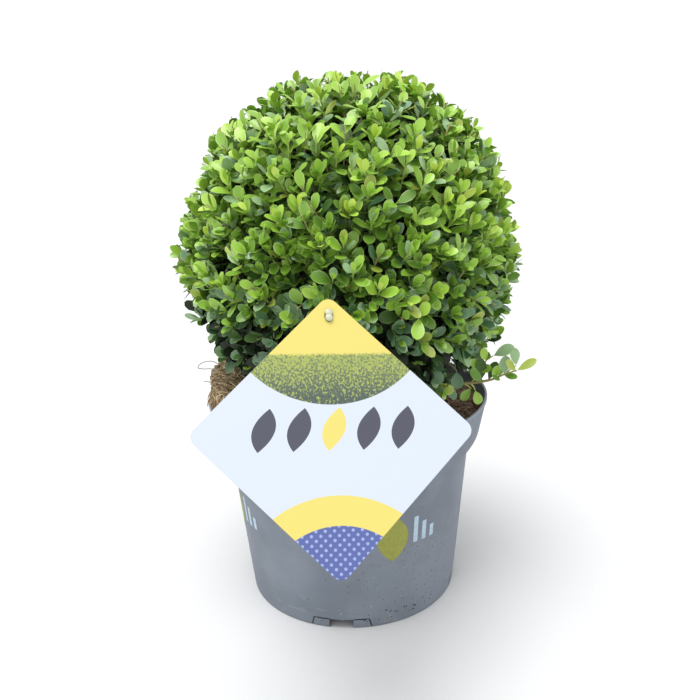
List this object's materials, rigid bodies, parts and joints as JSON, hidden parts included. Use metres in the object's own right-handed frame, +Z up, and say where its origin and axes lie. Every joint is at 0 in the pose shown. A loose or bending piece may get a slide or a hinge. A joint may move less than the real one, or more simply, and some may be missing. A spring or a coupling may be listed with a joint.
{
  "type": "potted clipped holly ball",
  "caption": "Ball-clipped holly shrub with small oval leaves in a round grey nursery pot, with a square hang card on its front; it stands on the pot's flat underside.",
  "frame": {"origin": "middle of the pot's flat underside", "axes": "+Z up along the pot's axis, -Y towards the side the card hangs on, +X to the right as seen from there"},
  "size_m": [0.3041, 0.4132, 0.4731],
  "materials": {
    "pot": "moulded blue-grey plastic with a faint grain",
    "root_ball": "peat matted with fine tan roots",
    "bark": "smooth young grey-brown bark",
    "foliage": "small glossy evergreen leaves, brighter at the tips",
    "label_card": "printed plastic card with a satin face",
    "label_tie": "pale grey plastic"
  },
  "bodies": {
    "root": {"pot": "pot", "root_ball": "root_ball", "trunk": "bark", "bough_top": "bark", "bough_upper_1": "bark", "bough_upper_2": "bark", "bough_upper_3": "bark", "bough_upper_4": "bark", "bough_upper_5": "bark", "bough_upper_6": "bark", "bough_side_1": "bark", "bough_side_2": "bark", "bough_side_3": "bark", "bough_side_4": "bark", "bough_side_5": "bark", "bough_side_6": "bark", "bough_low_right": "bark", "mass_top": "foliage", "mass_upper_1": "foliage", "mass_upper_2": "foliage", "mass_upper_3": "foliage", "mass_upper_4": "foliage", "mass_upper_5": "foliage", "mass_upper_6": "foliage", "mass_side_1": "foliage", "mass_side_2": "foliage", "mass_side_3": "foliage", "mass_side_4": "foliage", "mass_side_5": "foliage", "mass_side_6": "foliage", "mass_low_right": "foliage", "label_card": "label_card", "label_tie": "label_tie"}
  },
  "joints": []
}
